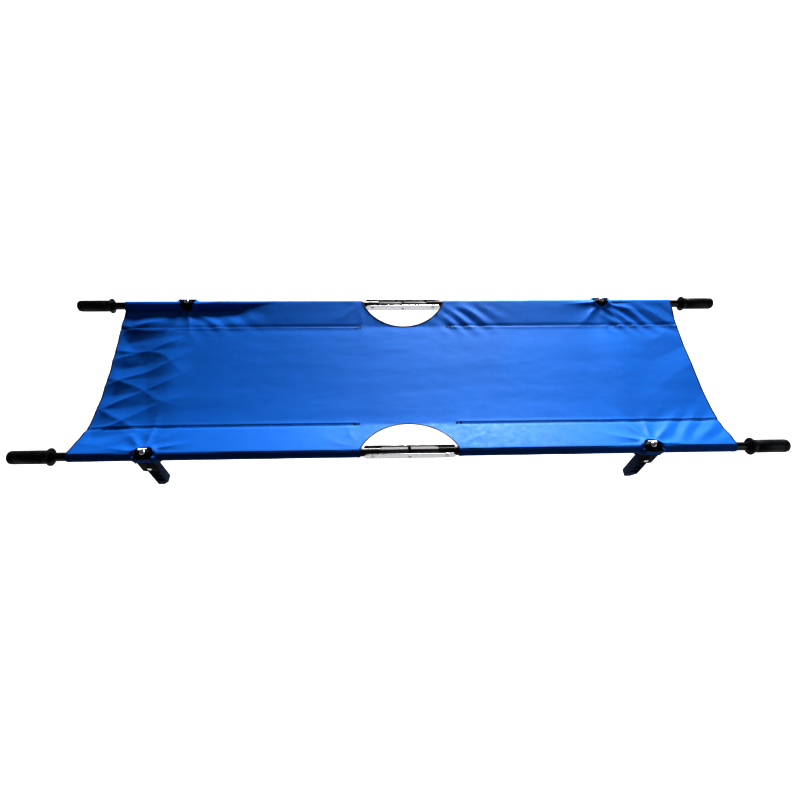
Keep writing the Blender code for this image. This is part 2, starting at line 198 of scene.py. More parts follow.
def apply_modifiers(obj):
    activate(obj)
    for modifier in list(obj.modifiers):
        bpy.ops.object.modifier_apply(modifier=modifier.name)
    return obj


def turn_faces_out(obj):
    activate(obj)
    bpy.ops.object.mode_set(mode="EDIT")
    bpy.ops.mesh.select_all(action="SELECT")
    bpy.ops.mesh.remove_doubles(threshold=0.00001)
    bpy.ops.mesh.normals_make_consistent(inside=False)
    bpy.ops.object.mode_set(mode="OBJECT")
    return obj


def pick(obj, kind, wanted):
    """Opens a piece in edit mode, with the edges or faces that pass the test selected."""
    activate(obj)
    bpy.ops.object.mode_set(mode="EDIT")
    bpy.ops.mesh.select_mode(type=kind)
    bpy.ops.mesh.select_all(action="DESELECT")
    mesh = bmesh.from_edit_mesh(obj.data)
    for item in mesh.edges if kind == "EDGE" else mesh.faces:
        item.select_set(wanted(item))
    bmesh.update_edit_mesh(obj.data)


def points_of(obj):
    points = np.empty(len(obj.data.vertices) * 3)
    obj.data.vertices.foreach_get("co", points)
    return points.reshape(-1, 3)


def put_points(obj, points):
    obj.data.vertices.foreach_set("co", points.ravel())
    obj.data.update()
    return obj


def smooth(obj, degrees=35):
    activate(obj)
    bpy.ops.object.shade_smooth_by_angle(angle=math.radians(degrees))
    return obj


def round_edges(obj, width, segments=2, degrees=35):
    bevel = obj.modifiers.new("edges", "BEVEL")
    bevel.width = width
    bevel.segments = segments
    bevel.limit_method = "ANGLE"
    bevel.angle_limit = math.radians(degrees)
    bevel.use_clamp_overlap = True
    return apply_modifiers(obj)


def soften(obj, width, segments=2, degrees=40):
    """The last step of a hard piece: faces turned out, edges rounded and shading smooth."""
    turn_faces_out(obj)
    round_edges(obj, width, segments, degrees)
    return smooth(obj, 40)


def copy_piece(obj, name, matrix):
    """A copy with its own mesh, moved by a matrix. A mirroring matrix gets its faces turned out."""
    copied = obj.copy()
    copied.data = obj.data.copy()
    copied.name = name
    copied.data.name = name
    bpy.context.scene.collection.objects.link(copied)
    copied.data.transform(matrix)
    if matrix.determinant() < 0:
        copied.data.flip_normals()
    return copied


def drop(obj):
    mesh = obj.data
    bpy.data.objects.remove(obj, do_unlink=True)
    bpy.data.meshes.remove(mesh)


def combine(obj, other, operation="DIFFERENCE"):
    """Cuts, joins or keeps the shared part of two closed pieces. The second is used up."""
    modifier = obj.modifiers.new("combine", "BOOLEAN")
    modifier.operation = operation
    modifier.object = other
    apply_modifiers(obj)
    drop(other)
    return obj


def block(name, low, high, corner=0.0, axis=None, segments=4):
    """A box between two corners, its edges along one axis rounded, or all of them."""
    low, high = Vector(low), Vector(high)
    deselect_all()
    bpy.ops.mesh.primitive_cube_add(size=1, location=(low + high) / 2, scale=high - low)
    obj = settle(take(name))
    if corner:
        def wanted(edge):
            along = (edge.verts[1].co - edge.verts[0].co).normalized()
            return axis is None or abs(along["XYZ".index(axis)]) > 0.9

        pick(obj, "EDGE", wanted)
        bpy.ops.mesh.bevel(offset=corner, segments=segments, affect="EDGES")
        bpy.ops.object.mode_set(mode="OBJECT")
    return obj


def rod(name, axis, centre, radius, low, high, sides=24):
    """A round bar along an axis, from low to high past its centre."""
    turn = {"X": (0, math.pi / 2, 0), "Y": (math.pi / 2, 0, 0), "Z": (0, 0, 0)}[axis]
    place = Vector(centre)
    place["XYZ".index(axis)] += (low + high) / 2
    deselect_all()
    bpy.ops.mesh.primitive_cylinder_add(
        vertices=sides, radius=radius, depth=high - low, location=place, rotation=turn)
    return settle(take(name))


def finish_piece(obj, body, finish, slot, *nodes):
    obj.data.materials.clear()
    obj.data.materials.append(finish)
    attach(obj, body)
    if nodes:
        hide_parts(*nodes)
    return obj


# ---------------------------------------------------------------- materials

class Finish:
    """A node material under construction."""

    def __init__(self, name):
        self.material = bpy.data.materials.new(name)
        self.material.use_nodes = True
        self.tree = self.material.node_tree
        self.shader = self.tree.nodes["Principled BSDF"]
        self.place = self.add("ShaderNodeTexCoord").outputs["Object"]

    def add(self, kind, **settings):
        node = self.tree.nodes.new(kind)
        for key, value in settings.items():
            setattr(node, key, value)
        return node

    def link(self, output, target):
        self.tree.links.new(output, target)

    def set(self, **values):
        for key, value in values.items():
            name = key.replace("_", " ").title().replace("Ior", "IOR")
            self.shader.inputs[name].default_value = value

    def mapped(self, scale=(1, 1, 1), turn=0.0):
        node = self.add("ShaderNodeMapping")
        node.inputs["Scale"].default_value = scale
        node.inputs["Rotation"].default_value = (0, 0, turn)
        self.link(self.place, node.inputs["Vector"])
        return node.outputs["Vector"]

    def noise(self, scale, detail=3.0, rough=0.5, vector=None):
        node = self.add("ShaderNodeTexNoise")
        node.inputs["Scale"].default_value = scale
        node.inputs["Detail"].default_value = detail
        node.inputs["Roughness"].default_value = rough
        self.link(vector or self.place, node.inputs["Vector"])
        return node.outputs["Fac"]

    def wave(self, length, direction, profile="SIN"):
        """Bands across X, Y or Z that repeat every length metres."""
        node = self.add("ShaderNodeTexWave", bands_direction=direction, wave_profile=profile)
        node.inputs["Scale"].default_value = math.tau / (20 * length)
        self.link(self.place, node.inputs["Vector"])
        return node.outputs["Fac"]

    def ramp(self, fac, stops):
        """A colour ramp from (place, colour) stops, colours of three numbers or one."""
        node = self.add("ShaderNodeValToRGB")
        elements = node.color_ramp.elements
        while len(elements) < len(stops):
            elements.new(0.5)
        for element, (place, colour) in zip(elements, stops):
            element.position = place
            rgb = (colour,) * 3 if isinstance(colour, (int, float)) else tuple(colour)
            element.color = (*rgb, 1.0)
        self.link(fac, node.inputs["Fac"])
        return node.outputs["Color"]

    def maths(self, operation, a, b):
        node = self.add("ShaderNodeMath", operation=operation)
        for socket, value in zip(node.inputs, (a, b)):
            if isinstance(value, (int, float)):
                socket.default_value = value
            else:
                self.link(value, socket)
        return node.outputs["Value"]

    def mix(self, fac, a, b, blend="MIX"):
        node = self.add("ShaderNodeMix", data_type="RGBA", blend_type=blend)
        for name, value in (("Factor", fac), ("A", a), ("B", b)):
            socket = next(s for s in node.inputs if s.name == name and s.enabled)
            if isinstance(value, (int, float)):
                socket.default_value = value
            elif isinstance(value, tuple):
                socket.default_value = (*value, 1.0)
            else:
                self.link(value, socket)
        return next(s for s in node.outputs if s.enabled)

    def bump(self, height, distance, strength=1.0, under=None):
        node = self.add("ShaderNodeBump")
        node.inputs["Distance"].default_value = distance
        node.inputs["Strength"].default_value = strength
        self.link(height, node.inputs["Height"])
        if under is not None:
            self.link(under, node.inputs["Normal"])
        return node.outputs["Normal"]

    def done(self, colour=None, roughness=None, normal=None):
        for output, name in ((colour, "Base Color"), (roughness, "Roughness"), (normal, "Normal")):
            if output is not None:
                self.link(output, self.shader.inputs[name])
        return self.material


def tinted(colour, factor):
    return tuple(min(1.0, c * factor) for c in colour)


def cloth_finish(name, colour, thread=0.00075):
    """Coated plain-weave cloth: fine threads, soft mottling and rubbed creases."""
    f = Finish(name)
    weave = f.maths("MULTIPLY", f.wave(thread, "X"), f.wave(thread, "Y"))
    mottle = f.noise(5.0, 5.0, 0.55)
    streak = f.noise(1.0, 4.0, 0.6, f.mapped((3.0, 40.0, 3.0)))
    tone = f.mix(mottle, tinted(colour, 0.84), tinted(colour, 1.14))
    tone = f.mix(f.maths("MULTIPLY", streak, 0.22), tone, tinted(colour, 1.30))
    tone = f.mix(f.maths("MULTIPLY", weave, 0.16), tone, tinted(colour, 0.62))
    rough = f.ramp(f.noise(60.0, 4.0), ((0.3, 0.50), (0.7, 0.64)))
    fine = f.bump(weave, 0.00012, 0.5)
    rumple = f.bump(f.noise(34.0, 5.0, 0.6), 0.0009, 0.30, fine)
    f.set(sheen_weight=0.06, sheen_roughness=0.45, specular_ior_level=0.20)
    return f.done(tone, rough, rumple)


def tape_finish(name, colour):
    """Narrow ribbed binding tape and thread."""
    f = Finish(name)
    rib = f.maths("MULTIPLY", f.wave(0.0011, "X"), f.wave(0.0011, "Y"))
    tone = f.mix(rib, tinted(colour, 0.7), tinted(colour, 1.6))
    rough = f.ramp(f.noise(90.0), ((0.3, 0.55), (0.7, 0.72)))
    return f.done(tone, rough, f.bump(rib, 0.0002, 0.6))


def paint_finish(name, colour):
    """Satin black paint on a pole, with scuffs along its length."""
    f = Finish(name)
    scuff = f.noise(1.0, 6.0, 0.65, f.mapped((9.0, 220.0, 220.0)))
    mask = f.ramp(scuff, ((0.56, 0.0), (0.72, 1.0)))
    tone = f.mix(mask, colour, tinted(colour, 4.5))
    rough = f.ramp(f.noise(30.0, 5.0), ((0.3, 0.24), (0.75, 0.40)))
    f.set(metallic=0.55)
    return f.done(tone, rough, f.bump(f.noise(420.0, 3.0), 0.00006, 0.4))


def rubber_finish(name, colour):
    """Moulded rubber with a fine grain and paler rubbed patches."""
    f = Finish(name)
    grain = f.noise(900.0, 3.0, 0.6)
    rubbed = f.ramp(f.noise(26.0, 5.0, 0.6), ((0.42, 0.0), (0.78, 1.0)))
    tone = f.mix(rubbed, colour, tinted(colour, 2.4))
    rough = f.ramp(f.noise(70.0, 4.0), ((0.3, 0.38), (0.7, 0.55)))
    f.set(specular_ior_level=0.25)
    return f.done(tone, rough, f.bump(grain, 0.00015, 0.45))


def plastic_finish(name, colour, gloss=0.36, specular=0.28):
    """Moulded plastic with a spark-etched grain and flow marks."""
    f = Finish(name)
    etched = f.noise(1300.0, 2.0, 0.6)
    flow = f.noise(18.0, 5.0, 0.6)
    tone = f.mix(flow, tinted(colour, 0.8), tinted(colour, 1.5))
    rough = f.ramp(f.noise(45.0, 4.0), ((0.3, gloss), (0.7, gloss + 0.16)))
    f.set(specular_ior_level=specular)
    return f.done(tone, rough, f.bump(etched, 0.00008, 0.4))


def steel_finish(name, colour, gloss=0.24, grain=(12.0, 300.0, 300.0)):
    """Plated steel with drawn lines, small pits and duller patches."""
    f = Finish(name)
    lines = f.noise(1.0, 5.0, 0.7, f.mapped(grain))
    patch = f.noise(35.0, 5.0, 0.55)
    tone = f.mix(patch, tinted(colour, 0.93), tinted(colour, 1.06))
    tone = f.mix(f.maths("MULTIPLY", lines, 0.14), tone, tinted(colour, 0.7))
    rough = f.ramp(patch, ((0.3, gloss), (0.75, gloss + 0.16)))
    f.set(metallic=1.0)
    return f.done(tone, rough, f.bump(lines, 0.00002, 0.2))


def make_finishes(fabric, hardware):
    black = tuple(hardware.plastic_colour)
    steel = tuple(hardware.steel_colour)
    return {
        "cloth": cloth_finish("Blue coated cloth", tuple(fabric.colour)),
        "tape": tape_finish("Navy edge tape", tuple(fabric.tape_colour)),
        "paint": paint_finish("Black pole paint", tuple(hardware.tube_colour)),
        "rubber": rubber_finish("Black grip rubber", tuple(hardware.rubber_colour)),
        "bracket": plastic_finish("Black bracket plastic", black, 0.45, 0.05),
        "foot": plastic_finish("Slate foot plastic", tuple(hardware.foot_colour), 0.45, 0.12),
        "plate": steel_finish("Zinc plated steel", steel, 0.22),
        "chrome": steel_finish("Polished dome steel", tinted(steel, 0.80), 0.13, (40, 40, 40)),
        "dark": plastic_finish("Black joint steel", (0.004, 0.004, 0.005), 0.30),
    }


FINISHES = {}


# ---------------------------------------------------------------- the bed's shape

NOTCH_HALF, NOTCH_DEPTH = 0.0255, 0.0225    # the opening in the top cloth round a bracket
UNDER_GAP_HALF, UNDER_GAP_DEPTH = 0.034, 0.027    # the opening in a tunnel's lower cloth
UNDER_INSET = 0.004    # how far a tunnel's lower cloth stays inside each end of the upper
STRIP_LOW, STRIP_HIGH = -0.007, 0.011    # the cloth left outside a bracket, from the pole's axis
STRIP_OUT = 0.0192    # how far that strip stands out from the pole's axis
CROWN_R = SLEEVE_R + 0.0007    # the top cloth's height over a pole's axis
FRONT_SEAM_Z, SEAM_RISE = -0.0130, 0.0105    # the front seam's height from the axis, the rear's above it
RISING, FALLING, CROSS = 0.118, 0.092, 0.170    # distances between the left end's ridges
GATHER_REACH = 0.30    # how far in from the left hem the ridges run


def cutout_depth(x):
    """How far in from the pole's axis the cut-out's edge is at x, as a circular arc."""
    inside = np.clip(ARC_RADIUS ** 2 - np.asarray(x) ** 2, 0, None)
    return np.where(np.abs(x) < SLEEVE_START, np.clip(np.sqrt(inside) - ARC_CENTRE, 0, None), 0.0)


def smooth_step(value, start, end):
    t = np.clip((value - start) / (end - start), 0, 1)
    return t * t * (3 - 2 * t)


def bell(value, middle_value, width):
    return np.exp(-(((value - middle_value) / width) ** 2))


def pleat(u):
    """A triangular wave from -1 to 1, with sharp creases."""
    return 4 * np.abs(u - np.floor(u) - 0.5) - 1


def crest(u):
    """A wave like pleat(), with narrow sharp ridges between wide valleys."""
    return 1 - 2 * ((1 - pleat(u)) / 2) ** 0.6


def field(x, y, size, seed):
    """Soft noise over the bed, with features about size metres across."""
    points = np.stack([x / size, y / size, np.full_like(x, seed)], axis=-1)
    flat = points.reshape(-1, 3)
    return np.array([noise.noise(p) for p in flat]).reshape(x.shape)


def fan(x, y, centre, folds, reach, phase):
    """Narrow ridges that run out from a point, and fade with distance."""
    dx, dy = x - centre[0], y - centre[1]
    r, angle = np.hypot(dx, dy), np.arctan2(dy, dx)
    turned = folds * angle / 2 + phase + 0.5 * field(x, y, 0.09, 12.0 + phase)
    ridge = 1 - 2 * np.abs(np.sin(turned)) ** 0.8
    return ridge * smooth_step(r, 0.012, 0.06) * np.exp(-(r / reach) ** 2)


def wing_height(depth, seam, slack, low):
    """The top cloth of a tunnel: over the pole, then straight to the seam.

    Where the cloth is slack, it wraps down behind the pole before it leaves it.
    """
    leave = CROWN_R * (0.15 + 0.83 * slack)
    over = np.sqrt(np.clip(CROWN_R ** 2 - np.minimum(depth, leave) ** 2, 0, None))
    top = np.sqrt(CROWN_R ** 2 - leave ** 2)
    share = np.clip((depth - leave) / (seam - leave), 0, 1)
    tucked = 0.007 * slack * smooth_step(depth, leave, leave + 0.004)
    tucked = tucked * (1 - smooth_step(depth, 0.03, 0.085))
    return np.where(depth < leave, over, top + (low - top) * share) - tucked


def bed_sag(x, fabric):
    """The bed's sag along the poles: shallow over each spreader bar, deepest between them."""
    held = sum(0.75 * bell(x, foot_x, 0.055) for foot_x in FEET_X.values())
    ends = 0.4 * smooth_step(x, 0.80, BED_END)
    return fabric.sag * (1 - np.clip(held + ends, 0, 0.75))


def left_creases(x, y, depth, fabric):
    """Gathers at the loose left end: sharp wedges at the hem that fade inwards."""
    inward = x + BED_END
    from_hem = np.clip(inward / GATHER_REACH, 0, 1)
    wander = field(x, y, 0.20, 9.2)
    rising = crest((y + 0.42 * inward) / RISING + 0.50 * wander)
    falling = crest((y - 0.50 * inward) / FALLING + 0.35 - 0.45 * wander)
    cross = pleat((0.92 * x + 0.45 * y) / CROSS + 0.25 * wander)
    wedges = 0.62 * np.maximum(rising, falling) + 0.34 * np.minimum(falling, cross)
    near = (1 - from_hem) ** 1.3 * (0.35 + 0.65 * smooth_step(from_hem, 0.0, 0.14))
    folds = near * wedges + 0.10 * (1 - from_hem) * cross
    return fabric.crumple * smooth_step(depth, 0.0, 0.07) * folds


def wrinkles(x, y, depth, fabric):
    """Height of the cloth's folds and creases above its smooth shape."""
    inner = smooth_step(depth, 0.0, 0.05)
    z = 0.0006 * field(x, y, 0.16, 1.3) + 0.0002 * field(x, y * 2.5, 0.05, 7.7)
    z = z + 0.0005 * field(x * 0.25, y * 2.2, 0.10, 4.1) * inner
    z = z + left_creases(x, y, depth, fabric)
    right = smooth_step(x, 0.70, BED_END)
    slanted = pleat((0.55 * x - 0.83 * y) / CROSS + 0.5 * field(x, y, 0.2, 8.1))
    z = z + 0.0016 * right * inner * slanted
    wing = 1 - smooth_step(depth, fabric.seam_depth * 0.7, fabric.seam_depth * 1.6)
    # Diagonal folds in the tunnels' cloth, beyond the brackets and beside the cut-outs.
    slant = pleat((x - 0.9 * (POLE_Y - np.abs(y))) / 0.070 + 0.65 * field(x, y, 0.13, 2.2))
    rear = smooth_step(x, 0.66, 0.74) + bell(x, 0.22, 0.09) + 0.5 * bell(x, -0.60, 0.11)
    front = smooth_step(x, 0.70, 0.80) + 0.35 * bell(x, -0.80, 0.1)
    loose = np.where(y > 0, rear, front)
    z = z + 0.0024 * wing * inner * loose * slant
    for foot_x in FEET_X.values():
        for sign in SIDES.values():
            bracket = (foot_x, sign * (POLE_Y - 0.006))
            z = z + 0.0034 * fan(x, y, bracket, 9, 0.095, 0.6 * sign + foot_x)
    for side in HALVES.values():
        for sign in SIDES.values():
            sleeve_end = (side * (SLEEVE_START + 0.004), sign * (POLE_Y - 0.010))
            z = z + 0.0008 * fan(x, y, sleeve_end, 7, 0.10, 0.4 + side)
    return z


def hem_shift(x, y, fabric):
    """How far the two end hems curve in towards the middle."""
    across = np.clip(y / POLE_Y, -1, 1)
    hollow = np.where(x < 0, fabric.left_hollow * (1 - 0.45 * across), fabric.right_hollow)
    pull = smooth_step(np.abs(x), BED_END - 0.35, BED_END) * np.clip(1 - across ** 2, 0, 1)
    return -np.sign(x) * hollow * pull


def cloth_point(x, depth, sign, fabric):
    """The place on the bed's top that is depth in from a pole's axis."""
    x, depth = np.broadcast_arrays(np.asarray(x, float), np.asarray(depth, float))
    y = sign * (POLE_Y - depth)
    from_seam = depth - fabric.seam_depth
    across = np.clip(from_seam / (POLE_Y - fabric.seam_depth), 0, 1)
    # The rear left tunnel is slack, and the front one's seam hangs lower than the rear one's.
    slack = np.where(y > 0, smooth_step(-x, 0.42, 0.60), 0.0)
    inner_half = POLE_Y - fabric.seam_depth
    low = FRONT_SEAM_Z + SEAM_RISE * smooth_step(y, -inner_half, inner_half)
    z = POLE_Z + wing_height(depth, fabric.seam_depth, slack, low)
    z = z - fabric.droop * smooth_step(-x, -FEET_X["left"], BED_END) * (1 - (y / POLE_Y) ** 2)
    z = z - bed_sag(x, fabric) * (1 - (1 - across) ** 2)
    sewn = smooth_step(np.abs(x), SLEEVE_START, SLEEVE_START + 0.02)
    z = z - 0.0016 * sewn * bell(from_seam, -0.002, 0.0045)
    z = z + 0.0012 * sewn * bell(from_seam, 0.006, 0.004)
    z = z + wrinkles(x, y, depth, fabric)
    for foot_x in FEET_X.values():
        ring = np.hypot((x - foot_x) / NOTCH_HALF, depth / NOTCH_DEPTH)
        beside = np.clip(np.abs(x - foot_x) / NOTCH_HALF, 0, 1)
        z = z + 0.0060 * bell(ring, 1, 0.30) * beside * smooth_step(depth, -0.001, 0.006)
    return np.stack([x + hem_shift(x, y, fabric), y, z], axis=-1)


def bed_points(x, v, fabric):
    """Places on the top of the bed. v runs from -1 on the front pole to 1 on the rear pole."""
    edge = cutout_depth(x)
    depth = edge + (1 - np.abs(v)) * (POLE_Y - edge)
    return cloth_point(x, depth, np.where(v < 0, -1.0, 1.0), fabric)


def lines_between(stops, spacing):
    """Mesh lines through every stop, no further apart than the spacing."""
    stops = sorted(stops)
    found = [stops[0]]
    for low, high in zip(stops, stops[1:]):
        steps = max(1, math.ceil((high - low) / spacing - 0.001))
        found += [low + (high - low) * step / steps for step in range(1, steps + 1)]
    return np.array(found)


def cloth_columns(low, high, spacing):
    stops = {low, high}
    marks = [sign * SLEEVE_START for sign in HALVES.values()]
    marks += [foot_x + sign * NOTCH_HALF for foot_x in FEET_X.values() for sign in HALVES.values()]
    stops |= {mark for mark in marks if low < mark < high}
    return lines_between(stops, spacing)


def cloth_rows(spacing, fabric):
    depths = lines_between(
        [0.0, 0.004, 0.0145, SLEEVE_R, 0.0197, NOTCH_DEPTH, fabric.seam_depth, POLE_Y], spacing)
    share = 1 - depths / POLE_Y
    return np.array(sorted({round(s, 6) for value in share for s in (value, -value)}))


def gridded(name, columns, rows, place):
    """A grid whose lines are moved to the given columns and rows, then shaped by place()."""
    bpy.ops.mesh.primitive_grid_add(
        x_subdivisions=len(columns) - 1, y_subdivisions=len(rows) - 1, size=2, location=(0, 0, 0))
    obj = take(name)
    flat = points_of(obj)
    column = np.rint((flat[:, 0] + 1) / 2 * (len(columns) - 1)).astype(int)
    row = np.rint((flat[:, 1] + 1) / 2 * (len(rows) - 1)).astype(int)
    return put_points(obj, place(columns[column], rows[row]))


def delete_faces(obj, doomed):
    """Deletes the faces whose middle passes the test."""
    pick(obj, "FACE", lambda face: doomed(face.calc_center_median()))
    bpy.ops.mesh.delete(type="FACE")
    bpy.ops.object.mode_set(mode="OBJECT")
    return obj


def cut_openings(panel, low, high):
    """Cuts the half-oval opening round each bracket."""
    for foot_x in FEET_X.values():
        if low < foot_x < high:
            for sign in SIDES.values():
                deselect_all()
                bpy.ops.mesh.primitive_cylinder_add(
                    vertices=64, radius=1, depth=0.06, location=(foot_x, sign * POLE_Y, POLE_Z + 0.022),
                    scale=(NOTCH_HALF, NOTCH_DEPTH, 1))
                combine(panel, settle(take("opening")))
    return panel


def thicken(obj, thickness, offset=-1.0):
    solidify = obj.modifiers.new("thickness", "SOLIDIFY")
    solidify.thickness = thickness
    solidify.offset = offset
    solidify.use_even_offset = False
    return apply_modifiers(obj)


def join_into(obj, others):
    activate(obj)
    for other in others:
        other.select_set(True)
    bpy.ops.object.join()
    return obj


def under_cloth(name, low, high, sign, fabric):
    """The lower cloth of a tunnel, from under the pole up to the seam."""
    columns = cloth_columns(low, high, fabric.spacing * 1.6)
    depths = lines_between([0.0, NOTCH_DEPTH, fabric.seam_depth], fabric.spacing * 1.6)

    def place(x, depth):
        share = depth / fabric.seam_depth
        above = cloth_point(x, depth, sign, fabric)
        rumple = 0.0016 * field(x, depth * 3, 0.08, 2.0 + sign) * share
        z = POLE_Z - (SLEEVE_R - 0.0002) * (1 - share) + rumple
        above[..., 2] = np.minimum(z, above[..., 2] - 0.0018)
        return above

    made = gridded(name, columns, depths, place)
    if sign > 0:
        made.data.flip_normals()
    delete_faces(made, lambda p: POLE_Y - abs(p.y) < UNDER_GAP_DEPTH
                 and min(abs(p.x - foot_x) for foot_x in FEET_X.values()) < UNDER_GAP_HALF)
    return made


TAPE_WIDTH = 0.0036
# The tape's section round the cloth's edge: how far in from the edge, and how far above the cloth.
TAPE_SECTION = (
    (TAPE_WIDTH, 0.0003), (0.0020, 0.0005), (0.0004, 0.0005), (-0.0005, 0.0002), (-0.0007, -0.0004),
    (-0.0005, -0.0009), (0.0004, -0.0012), (0.0020, -0.0012), (TAPE_WIDTH, -0.0010), (TAPE_WIDTH, 0.0003),
)


def on_arc(along, inset, sign, fabric):
    """A place on the cloth beside a cut-out, by the distance along its edge and in from it."""
    turn, radius = along / ARC_RADIUS, ARC_RADIUS + inset
    return cloth_point(radius * np.sin(turn), radius * np.cos(turn) - ARC_CENTRE, sign, fabric)


def on_hem(along, inset, half_sign, fabric):
    """A place on the cloth beside an end hem, by y and the distance in from the hem."""
    depth = POLE_Y - np.abs(along)
    return cloth_point(half_sign * (BED_END - inset), depth, np.where(along < 0, -1.0, 1.0), fabric)


def make_tape(name, low, high, to_cloth):
    """Edge tape folded round the cloth's edge."""
    along = lines_between([low, high], 0.0035)
    section = np.arange(len(TAPE_SECTION), dtype=float)
    inset, above = np.array(TAPE_SECTION).T

    def place(u, w):
        index = np.rint(w).astype(int)
        points = to_cloth(u, inset[index])
        points[..., 2] += above[index]
        return points

    tape = gridded(name, along, section, place)
    turn_faces_out(tape)
    bpy.ops.object.mode_set(mode="EDIT")
    bpy.ops.mesh.select_all(action="SELECT")
    bpy.ops.mesh.fill_holes(sides=0)
    bpy.ops.mesh.normals_make_consistent(inside=False)
    bpy.ops.object.mode_set(mode="OBJECT")
    return tape


def make_stitches(name, low, high, to_cloth, gap=0.0042, length=0.0028, across=False):
    """A row of short stitches that lie on the cloth, or a bar of them side by side."""
    stitch = rod(name, "Y" if across else "X", (low, 0, 0.0002), 0.0004, -length / 2, length / 2, 6)
    row = stitch.modifiers.new("row", "ARRAY")
    row.count = max(1, int((high - low) / gap))
    row.use_relative_offset = False
    row.use_constant_offset = True
    row.constant_offset_displace = (gap, 0, 0)
    apply_modifiers(stitch)
    flat = points_of(stitch)
    placed = to_cloth(flat[:, 0], flat[:, 1])
    placed[:, 2] += flat[:, 2]
    return put_points(stitch, placed)


def make_trim(part, body, low, high, fabric):
    """The panel's edge tape, the rows of stitches along its seams and the bar tacks at their ends."""
    edges = [ARC_RADIUS * math.asin(np.clip(x, -SLEEVE_START, SLEEVE_START) / ARC_RADIUS)
             for x in (low, high)]
    made = []
    for side, sign in SIDES.items():
        def arc(u, w, sign=sign):
            return on_arc(u, w, sign, fabric)
        made.append(make_tape(f"{part}_{side}_arc_tape", *edges, arc))
        made.append(make_stitches(f"{part}_{side}_arc_thread", edges[0] + 0.003, edges[1],
                                  lambda u, w: arc(u, w + TAPE_WIDTH * 0.75) + (0, 0, 0.0005)))
        if part == "middle":
            continue
        half = HALVES[part]
        start = SLEEVE_START + 0.012
        for row in (-0.0012, 0.0050):
            def seam(u, w, sign=sign, row=row):
                return cloth_point(half * u, fabric.seam_depth + row + w, sign, fabric)
            made.append(make_stitches(f"{part}_{side}_seam_thread", start, BED_END - 0.010, seam))
        for tack in (start - 0.008, start + 0.004):
            def bar(u, w, sign=sign):
                return cloth_point(half * u, fabric.seam_depth + 0.0018 + w, sign, fabric)
            made.append(make_stitches(f"{part}_{side}_tack", tack, tack + 0.0065, bar,
                                      0.0009, 0.0085, True))
    if part != "middle":
        def hem(u, w):
            return on_hem(u, w, HALVES[part], fabric)
        made.append(make_tape(f"{part}_hem_tape", -POLE_Y, POLE_Y, hem))
        made.append(make_stitches(f"{part}_hem_thread", -POLE_Y + 0.004, POLE_Y - 0.002,
                                  lambda u, w: hem(u, w + TAPE_WIDTH * 0.75) + (0, 0, 0.0005)))
    trim = join_into(made[0], made[1:])
    trim.name = f"{part}_bed_trim"
    smooth(trim, 50)
    finish_piece(trim, body, FINISHES["tape"], "fabric")
    squash_bed(trim)
    return trim


BED_PANELS = {
    "left": ("front_left", -BED_END, -PIVOT_X),
    "middle": ("front_link", -PIVOT_X, PIVOT_X),
    "right": ("front_right", PIVOT_X, BED_END),
}


def cut_area(part, low, high, fabric):
    """The flat area of a panel as it was cut, from its outline alone and not from its shaped mesh."""
    x = np.linspace(low, high, 2001)
    width = 2 * (POLE_Y - cutout_depth(x))
    top = float(((width[1:] + width[:-1]) / 2 * np.diff(x)).sum())
    if part == "middle":
        return top
    hem = (fabric.left_hollow if part == "left" else fabric.right_hollow) * POLE_Y * 4 / 3
    notches = math.pi * NOTCH_HALF * NOTCH_DEPTH
    under = fabric.seam_depth * (BED_END - SLEEVE_START - 2 * UNDER_INSET)
    under = under - 2 * UNDER_GAP_HALF * UNDER_GAP_DEPTH
    return top - hem - notches + 2 * under


def make_bed_panel(part, fabric):
    body, low, high = BED_PANELS[part]
    columns = cloth_columns(low, high, fabric.spacing)
    rows = cloth_rows(fabric.spacing, fabric)
    panel = gridded(f"{part}_bed_cloth", columns, rows, lambda x, v: bed_points(x, v, fabric))
    layers = []
    if part != "middle":
        inner = math.copysign(SLEEVE_START + UNDER_INSET, low + high)
        outer = low if low < -PIVOT_X * 1.5 else high
        for side, sign in SIDES.items():
            ends = sorted((inner, outer - math.copysign(UNDER_INSET, outer)))
            layers.append(under_cloth(f"{part}_{side}_under", *ends, sign, fabric))
    for obj in (panel, *layers):
        thicken(obj, fabric.thickness)
    cut_openings(panel, low, high)
    join_into(panel, layers)
    smooth(panel, 60)
    finish_piece(panel, body, FINISHES["cloth"], "fabric", f"bed_{part}")
    trim = make_trim(part, body, low, high, fabric)
    cut_area(part, low, high, fabric)
    squash_bed(panel)
    return panel


def squash_bed(obj):
    """Gives the piece its own copy of its mesh."""
    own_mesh(obj)


class STRETCHER_OT_bed(bpy.types.Operator):
    """Make the three panels of the sewn bed"""
    bl_idname = "stretcher.bed"
    bl_label = "Bed"

    def execute(self, context):
        for part in BED_PANELS:
            make_bed_panel(part, context.scene.stretcher_fabric)
        return {"FINISHED"}


# ---------------------------------------------------------------- sleeves

def sleeve_points(x, angle, sign, half):
    """Places round a pole. The angle is 0 outside the bed and goes up over the top."""
    foot_x = FEET_X[half]
    out = np.cos(angle)
    radius = SLEEVE_R - 0.0002 + 0.00045 * field(x * 0.7, angle * 0.02, 0.05, 5.0 + sign)
    hems = bell(np.abs(x), SLEEVE_START + 0.005, 0.004) + bell(np.abs(x), BED_END - 0.006, 0.005)
    radius = radius + 0.0005 * hems
    strip = 1 - smooth_step(np.abs(x - foot_x), NOTCH_HALF - 0.002, NOTCH_HALF + 0.012)
    bulge = strip * smooth_step(out, 0.55, 0.80) * (STRIP_OUT / np.clip(out, 0.5, 1) - radius)
    radius = radius + np.clip(bulge, 0, None)
    y = sign * (POLE_Y + radius * out)
    return np.stack([x, y, POLE_Z + radius * np.sin(angle)], axis=-1)


